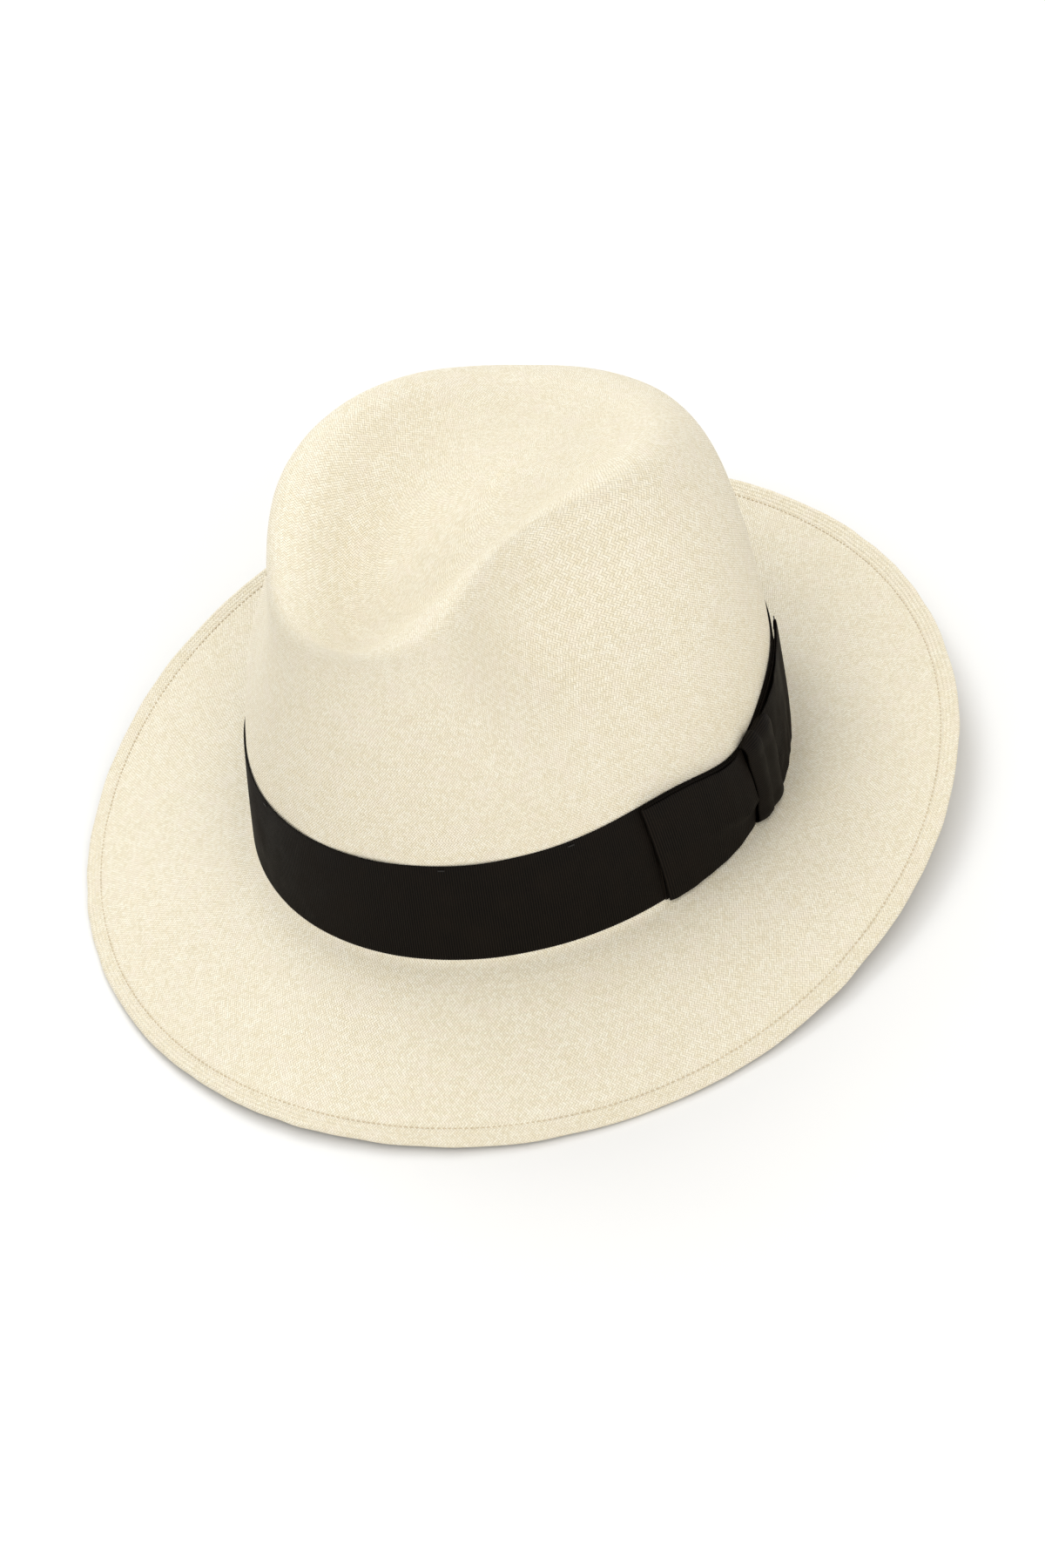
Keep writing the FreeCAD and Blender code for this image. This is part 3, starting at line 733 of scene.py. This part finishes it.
def wall_stitches(name, angles, heights, offset, ways, length):
    """Threads on the wall, each along its way: so much sideways and so much up."""
    centres = wall_points(angles, heights, offset)
    flat = wall_points(angles, heights, offset - 1)
    ups = flat - centres
    ups /= np.linalg.norm(ups, axis=1, keepdims=True)
    sideways = wall_points(np.asarray(angles) + 0.2, heights, offset) - centres
    sideways /= np.linalg.norm(sideways, axis=1, keepdims=True)
    runs = sideways * ways[:, :1] + np.array([0, 0, 1.0]) * ways[:, 1:]
    runs /= np.linalg.norm(runs, axis=1, keepdims=True)
    return capsules(name, centres, runs, ups, length, THREAD_RADIUS)


def sweatband_stitches():
    angles = np.arange(BAND_STITCHES) * 360 / BAND_STITCHES
    ways = np.tile([1.0, 0.0], (BAND_STITCHES, 1))
    return wall_stitches("sweatband_threads", angles, BAND_STITCH_HEIGHT, LEATHER_FACE - 0.05, ways,
                         BAND_STITCH_LENGTH)


def sweatband_seam():
    """Slanting stitches that lace the leather's two ends together at the back."""
    number = np.arange(SEAM_STITCHES)
    seam = SWEATBAND_TOP - SWEATBAND_FOOT - SEAM_MARGIN
    heights = SWEATBAND_FOOT + SEAM_FOOT + number * seam / SEAM_STITCHES
    lean = np.where(number % 2 == 0, 1.0, -1.0)
    ways = np.stack([lean, np.full(SEAM_STITCHES, SEAM_RISE)], 1)
    angles = np.full(SEAM_STITCHES, REAR)
    return wall_stitches("sweatband_seam_threads", angles, heights, LEATHER_FACE - 0.35, ways,
                         SEAM_STITCH_LENGTH)


def sweatband_bow():
    """Small bow of narrow ribbon: two loops, two ends and a knot."""
    lobes = []
    thread = np.linspace(0, 1, 25)
    for side in (-1, 1):
        reach = SMALL_LOOP_REACH * np.sin(math.pi * thread) ** 0.8
        rise = SMALL_LOOP_RISE * np.sin(2 * math.pi * thread)
        lobes.append((side * reach, rise, 0.9 + 0.5 * np.sin(math.pi * thread)))
        lobes.append((side * SMALL_END_REACH * thread, -SMALL_END_DROP * thread - 0.2, 0.7 - 0.2 * thread))
    knot_turn = thread * 2 * math.pi
    lobes.append((0.5 * np.cos(knot_turn), 0.8 * np.sin(knot_turn), 1.1 + 0.35 * np.cos(knot_turn)))
    section = np.array([(-1, -0.08), (0, -0.12), (1, -0.08), (1, 0.08), (0, 0.12), (-1, 0.08)])
    pieces = []
    for number, (across, rise, lift) in enumerate(lobes):
        width = SMALL_RIBBON * (SMALL_KNOT_SHARE if number == len(lobes) - 1 else 1)
        angle = REAR + across[:, None] / WALL_TURN
        height = SWEATBAND_FOOT + SMALL_BOW_HEIGHT + rise[:, None] + section[:, 0] * width
        offset = LEATHER_FACE - lift[:, None] - section[:, 1]
        rings = wall_points(angle, height, offset)
        along = np.arange(len(thread) + 1) * 0.4
        around = np.append(section[:, 0], -1) * width
        pieces.append(skin("small_bow_part_" + str(number), rings, around, along))
    return pieces


# ---- materials ----------------------------------------------------------------------------
class Look:
    """A material being made: its shader, and short ways to add nodes."""

    def __init__(self, name, color, roughness, **sockets):
        self.material = bpy.data.materials.new(name)
        self.material.use_nodes = True
        self.tree = self.material.node_tree
        self.shader = self.tree.nodes["Principled BSDF"]
        self.shader.inputs["Base Color"].default_value = (*color, 1)
        self.shader.inputs["Roughness"].default_value = roughness
        for socket, value in sockets.items():
            self.shader.inputs[socket.replace("_", " ")].default_value = value

    def node(self, kind, inputs=None, output=0, **settings):
        node = self.tree.nodes.new("ShaderNode" + kind)
        for key, value in settings.items():
            setattr(node, key, value)
        for socket, value in (inputs or {}).items():
            self.feed(node.inputs[socket], value)
        return node.outputs[output]

    def feed(self, socket, value):
        if isinstance(value, bpy.types.NodeSocket):
            self.tree.links.new(value, socket)
        else:
            socket.default_value = value

    def maths(self, operation, a, b=0.0):
        return self.node("Math", {0: a, 1: b}, operation=operation)

    def mixed(self, factor, a, b):
        """Number between a and b."""
        return self.node("Mix", {0: factor, 2: a, 3: b}, data_type="FLOAT")

    def tinted(self, factor, a, b):
        """Colour between a and b, each a colour or an output."""
        a = (*a, 1) if isinstance(a, tuple) else a
        b = (*b, 1) if isinstance(b, tuple) else b
        return self.node("Mix", {0: factor, 6: a, 7: b}, output=2, data_type="RGBA")

    def noise(self, scale, detail=2.0, vector=None):
        vector = vector or self.node("TexCoord", output=3)
        return self.node("TexNoise", {"Vector": vector, "Scale": scale, "Detail": detail})

    def between(self, value, low, high, to_low=0.0, to_high=1.0):
        return self.node("MapRange", {0: value, 1: low, 2: high, 3: to_low, 4: to_high})

    def random_of(self, number):
        return self.node("TexWhiteNoise", {"W": number}, noise_dimensions="1D")

    def uv(self, name):
        vector = self.node("UVMap", uv_map=name)
        parts = self.tree.nodes.new("ShaderNodeSeparateXYZ")
        self.feed(parts.inputs[0], vector)
        return parts.outputs[0], parts.outputs[1]

    def bump(self, height, depth, strength):
        """Relief this deep, in millimetres."""
        normal = self.node("Bump", {"Strength": strength, "Distance": depth * MM, "Height": height})
        self.feed(self.shader.inputs["Normal"], normal)

    def color(self, value):
        self.feed(self.shader.inputs["Base Color"], value)

    def rough(self, value):
        self.feed(self.shader.inputs["Roughness"], value)


STRAW_LIGHT = (0.93, 0.885, 0.75)
STRAW_WARM = (0.86, 0.77, 0.585)
STRAW_PINK = (0.89, 0.80, 0.68)
STRAW_DIM = (0.74, 0.65, 0.45)
# painted shade between the strands, where the weave is low
STRAW_GAP_SHADE = (0.42, 0.34, 0.22)
FLOOR_PALE = (0.845, 0.845, 0.845)
FLOOR_WARM = (0.86, 0.855, 0.85)
LEATHER_TAN = (0.40, 0.24, 0.13)


def straw_look():
    """Strands that slant both ways, each over two and under two of the others."""
    look = Look("woven_straw", STRAW_LIGHT, 0.6, Specular_IOR_Level=0.28)
    x, y = look.uv("weave")
    a = look.maths("ADD", x, y)
    b = look.maths("SUBTRACT", x, y)
    strand_a = look.maths("FLOOR", a)
    strand_b = look.maths("FLOOR", b)
    turn = look.maths("FLOORED_MODULO", look.maths("SUBTRACT", strand_a, strand_b), 4.0)
    over_a = look.maths("GREATER_THAN", turn, 1.5)

    def with_addend(output, addend):
        output.node.inputs[2].default_value = addend
        return output

    def centred(across):
        wide = with_addend(look.maths("MULTIPLY_ADD", look.maths("FRACT", across), 2.0), -1.0)
        return look.maths("POWER", look.maths("ABSOLUTE", wide), 4.0)

    def arched(along):
        arch = look.maths("SINE", look.maths("MULTIPLY", look.maths("FRACT", along), math.pi))
        return with_addend(look.maths("MULTIPLY_ADD", arch, 0.35), 0.65)

    height_a = look.maths("MULTIPLY", look.maths("SUBTRACT", 1.0, centred(a)), arched(b))
    height_b = look.maths("MULTIPLY", look.maths("SUBTRACT", 1.0, centred(b)), arched(a))
    height = look.mixed(over_a, height_b, height_a)

    hue_a = look.random_of(strand_a)
    hue_b = look.random_of(look.maths("ADD", strand_b, 4096.5))
    strand_hue = look.mixed(over_a, hue_b, hue_a)
    row_hue = look.random_of(look.maths("FLOOR", look.maths("MULTIPLY", y, 2.0)))
    crossing = look.node("CombineXYZ", {0: strand_a, 1: strand_b})
    crossing_hue = look.node("TexWhiteNoise", {"Vector": crossing}, noise_dimensions="2D")
    patch = look.noise(230.0, 2.0)
    wide_patch = look.noise(60.0, 2.0)
    spot = look.node("TexCoord", output=3)
    apart = look.node("VectorMath", {0: spot, 1: (3.1, 1.7, 0.4)}, operation="ADD")
    pink = look.noise(150.0, 1.0, apart)
    warm = look.between(patch, 0.42, 0.68, 0.0, 0.25)
    warm = look.maths("ADD", warm, look.maths("MULTIPLY", strand_hue, 0.35))
    warm = look.maths("ADD", warm, look.maths("MULTIPLY", row_hue, 0.2))
    shade = look.tinted(warm, STRAW_LIGHT, STRAW_WARM)
    shade = look.tinted(look.between(crossing_hue, 0.2, 1.0, 0.0, 0.6), shade, STRAW_DIM)
    shade = look.tinted(look.between(pink, 0.5, 0.72, 0.0, 0.35), shade, STRAW_PINK)
    shade = look.tinted(look.between(wide_patch, 0.35, 0.75, 0.0, 0.12), shade, STRAW_WARM)
    # Painted shade: where the weave is low, between the strands, the colour is tinted darker.
    gap_shade = look.between(height, 0.6, 0.05, 0.0, 0.8)
    shade = look.tinted(gap_shade, shade, STRAW_GAP_SHADE)
    look.color(shade)
    look.rough(look.between(strand_hue, 0.0, 1.0, 0.5, 0.72))
    look.bump(height, WEAVE_RELIEF, 0.8)
    return look.material


def ribbon_look(name, color, light):
    """Grosgrain: the ribs are in the mesh, and the yarns that cross them are in the bump."""
    look = Look(name, color, 0.5, Specular_IOR_Level=0.07)
    across, along = look.uv("cloth")
    yarn = look.maths("SINE", look.maths("MULTIPLY", across, 2 * math.pi / YARN))
    twist = look.maths("SINE", look.maths("ADD", look.maths("MULTIPLY", across, 12.0),
                                          look.maths("MULTIPLY", along, 7.85)))
    fuzz = look.noise(2600.0, 2.0)
    dust = look.noise(90.0, 3.0)
    # Painted highlight: the ribs' crests, where the mesh stands highest, are tinted towards the lighter
    # colour. Dust and fuzz also lighten random spots.
    rib = look.maths("COSINE", look.maths("MULTIPLY", along, 2 * math.pi / RIB))
    shade = look.tinted(look.between(rib, 0.2, 1.0, 0.0, 0.85), color, light)
    shade = look.tinted(look.between(dust, 0.4, 0.75, 0.0, 0.3), shade, light)
    shade = look.tinted(look.between(fuzz, 0.55, 0.8, 0.0, 0.35), shade, light)
    look.color(shade)
    look.rough(look.between(dust, 0.3, 0.7, 0.5, 0.68))
    bumps = look.maths("ADD", look.maths("MULTIPLY", yarn, 0.5), look.maths("MULTIPLY", twist, 0.35))
    look.bump(look.maths("ADD", bumps, fuzz), 0.04, 0.7)
    return look.material


def thread_look(name, dark, light, sheen=0.1):
    look = Look(name, light, 0.65, Sheen_Weight=sheen)
    spot = look.node("TexCoord", output=3)
    ply = look.node("TexWave", {"Vector": spot, "Scale": 900.0, "Distortion": 3.0, "Detail": 1.0}, output=1,
                    bands_direction="DIAGONAL")
    shade = look.tinted(ply, dark, light)
    shade = look.tinted(look.between(look.noise(400.0, 2.0), 0.4, 0.7, 0.0, 0.6), shade, dark)
    look.color(shade)
    look.bump(ply, 0.06, 0.8)
    return look.material


def leather_look():
    look = Look("tan_leather", LEATHER_TAN, 0.5, Specular_IOR_Level=0.4, Coat_Weight=0.05)
    spot = look.node("TexCoord", output=3)
    grain = look.node("TexVoronoi", {"Vector": spot, "Scale": 1100.0}, feature="DISTANCE_TO_EDGE")
    crease = look.noise(240.0, 4.0)
    worn = look.noise(35.0, 3.0)
    shade = look.tinted(look.between(worn, 0.35, 0.7), LEATHER_TAN, (0.30, 0.165, 0.085))
    shade = look.tinted(look.between(crease, 0.5, 0.75, 0.0, 0.5), shade, (0.47, 0.30, 0.17))
    shade = look.tinted(look.between(grain, 0.06, 0.0, 0.0, 0.35), shade, (0.20, 0.11, 0.06))
    look.color(shade)
    look.rough(look.between(crease, 0.3, 0.7, 0.42, 0.62))
    pores = look.maths("MINIMUM", grain, 0.12)
    relief = look.maths("ADD", look.maths("MULTIPLY", pores, 5.0), look.maths("MULTIPLY", crease, 0.6))
    look.bump(relief, 0.15, 0.7)
    return look.material


def tape_look():
    look = Look("binding_tape", (0.50, 0.38, 0.24), 0.75, Sheen_Weight=0.1)
    spot = look.node("TexCoord", output=3)
    waves = {"Vector": spot, "Scale": 420.0, "Distortion": 0.6}
    fine = look.node("TexWave", waves, output=1, bands_direction="Z")
    slant = look.node("TexWave", {"Vector": spot, "Scale": 420.0, "Distortion": 0.6}, output=1,
                      bands_direction="DIAGONAL")
    weave = look.maths("MAXIMUM", fine, slant)
    look.color(look.tinted(weave, (0.34, 0.25, 0.15), (0.56, 0.44, 0.29)))
    look.bump(weave, 0.08, 0.8)
    return look.material


def reed_look():
    look = Look("plastic_reed", (0.78, 0.74, 0.64), 0.32, IOR=1.5)
    haze = look.noise(160.0, 3.0)
    look.color(look.tinted(haze, (0.80, 0.76, 0.66), (0.70, 0.65, 0.54)))
    look.rough(look.between(haze, 0.3, 0.7, 0.25, 0.42))
    look.bump(look.noise(1800.0, 2.0), 0.02, 0.5)
    return look.material


def floor_look():
    look = Look("studio_floor", FLOOR_PALE, 0.9, Specular_IOR_Level=0.1)
    look.color(look.tinted(look.noise(3.0, 2.0), FLOOR_PALE, FLOOR_WARM))
    return look.material


def dress(piece, material):
    piece.data.materials.clear()
    piece.data.materials.append(material)


# ---- the pieces on the frame --------------------------------------------------------------
def place(piece, material, slot, *nodes):
    dress(piece, material)
    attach(piece, "root")
    if nodes:
        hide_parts(*nodes)
    return piece


def build_hat():
    straw = straw_look()
    # The second colour is the lighter one. It gives the painted highlight on the ribs' crests, and the
    # ribbon's dust and fuzz.
    ribbon = ribbon_look("black_grosgrain", (0.0008, 0.0005, 0.0003), (0.0165, 0.0118, 0.0080))
    hem_thread = thread_look("hem_thread", (0.58, 0.47, 0.31), (0.76, 0.66, 0.48))
    black_thread = thread_look("black_thread", (0.002, 0.0016, 0.0013), (0.010, 0.008, 0.006), 0.0)
    tan_thread = thread_look("tan_thread", (0.42, 0.32, 0.20), (0.66, 0.54, 0.36))

    nodes = ("woven_crown_wall", "woven_crown_top", "woven_brim", "brim_hem")
    body = place(straw_body(), straw, "straw", *nodes)
    place(hem_stitches(), hem_thread, "hem_thread", "hem_stitching")

    band, band_length = ribbon_band()
    under, under_length = bow_under_layer()
    front, front_length = bow_front_loop()
    rear, rear_length = bow_rear_loop()
    knot, knot_length = bow_knot()
    width = RIBBON_TOP - RIBBON_FOOT
    strips = [
        (band, band_length, width, "ribbon_band", "stretched", [body]),
        (under, under_length, width - BOW_INSET, "bow_under_layer", "stretched", [band]),
        (front, front_length, width - BOW_INSET, "bow_front_loop", "folded", [under]),
        (rear, rear_length, width - BOW_INSET, "bow_rear_loop", "folded", [under]),
    ]
    for piece, length, across, node, held, rests_on in strips:
        place(piece, ribbon, "ribbon", node)
    place(knot, ribbon, "ribbon", "bow_knot")
    place(bow_tack(), black_thread, "ribbon_thread", "bow_tack_thread")

    leather = sweatband()
    place(leather, leather_look(), "sweatband_leather", "sweatband")
    place(sweatband_stitches(), tan_thread, "sweatband_thread", "sweatband_stitching")
    place(sweatband_seam(), tan_thread, "sweatband_thread", "sweatband_rear_seam")
    # The second colour is the lighter one. It gives the painted highlight on the ribs' crests, and the
    # ribbon's dust and fuzz.
    narrow = ribbon_look("narrow_black_ribbon", (0.010, 0.009, 0.008), (0.035, 0.031, 0.027))
    for piece in sweatband_bow():
        place(piece, narrow, "sweatband_ribbon", "sweatband_bow")

    dress(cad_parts["ribbon_tacks"], black_thread)
    dress(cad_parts["sweatband_reed"], reed_look())
    dress(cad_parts["reed_tape"], tape_look())


# ---- the studio ---------------------------------------------------------------------------
def build_floor():
    mesh = bpy.data.meshes.new("studio_floor")
    reach = 6.0
    corners = [(-reach, -reach, 0), (reach, -reach, 0), (reach, reach, 0), (-reach, reach, 0)]
    mesh.from_pydata(corners, [], [(0, 1, 2, 3)])
    floor = bpy.data.objects.new("studio_floor", mesh)
    bpy.context.scene.collection.objects.link(floor)
    dress(floor, floor_look())


def add_light(name, place_at, size, power, color=(1, 1, 1)):
    data = bpy.data.lights.new(name, "AREA")
    data.size = size
    data.energy = power
    data.color = color
    light = bpy.data.objects.new(name, data)
    light.location = place_at
    light.rotation_euler = (Vector((0, 0, 0.05)) - Vector(place_at)).to_track_quat("-Z", "Y").to_euler()
    bpy.context.scene.collection.objects.link(light)


def build_lights():
    world = bpy.data.worlds.new("studio")
    world.use_nodes = True
    background = world.node_tree.nodes["Background"]
    background.inputs[0].default_value = (1, 0.985, 0.95, 1)
    background.inputs[1].default_value = 0.715
    bpy.context.scene.world = world
    add_light("key", (-1.15, 0.95, 1.75), 1.3, 21, (0.95, 0.98, 1))
    add_light("overhead", (0.3, -0.5, 2.4), 2.4, 13)
    add_light("side", (-1.6, -1.5, 1.2), 2.0, 4)
    add_light("fill", (1.8, -1.2, 1.3), 1.6, 16)


def build_camera():
    """The camera is placed in the hat's own, untipped space, and tipped with it."""
    back = np.array([math.sin(CAMERA_TURN) * math.cos(CAMERA_RISE),
                     -math.cos(CAMERA_TURN) * math.cos(CAMERA_RISE), math.sin(CAMERA_RISE)])
    level = np.array([math.cos(CAMERA_TURN), math.sin(CAMERA_TURN), 0])
    upright = np.cross(back, level)
    right = math.cos(CAMERA_ROLL) * level + math.sin(CAMERA_ROLL) * upright
    up = math.cos(CAMERA_ROLL) * upright - math.sin(CAMERA_ROLL) * level
    eye = CAMERA_TARGET + back * CAMERA_DISTANCE
    aim = CAMERA_TARGET + right * AIM_RIGHT + up * AIM_UP
    look_back = (eye - aim) / np.linalg.norm(eye - aim)
    up = up - look_back * (up @ look_back)
    up /= np.linalg.norm(up)
    side = np.cross(up, look_back)
    axes = [tipped(axis) for axis in (side, up, look_back)]
    at = to_frame(eye)
    data = bpy.data.cameras.new("camera")
    data.sensor_fit = "HORIZONTAL"
    data.sensor_width = SENSOR_WIDTH
    data.lens = LENS
    data.clip_end = 20
    camera = bpy.data.objects.new("camera", data)
    rows = [[axes[0][k], axes[1][k], axes[2][k], at[k]] for k in range(3)]
    camera.matrix_world = Matrix(rows + [[0, 0, 0, 1]])
    bpy.context.scene.collection.objects.link(camera)
    bpy.context.scene.camera = camera


build_hat()
build_floor()
build_lights()
build_camera()
bpy.context.scene.view_settings.view_transform = "Standard"
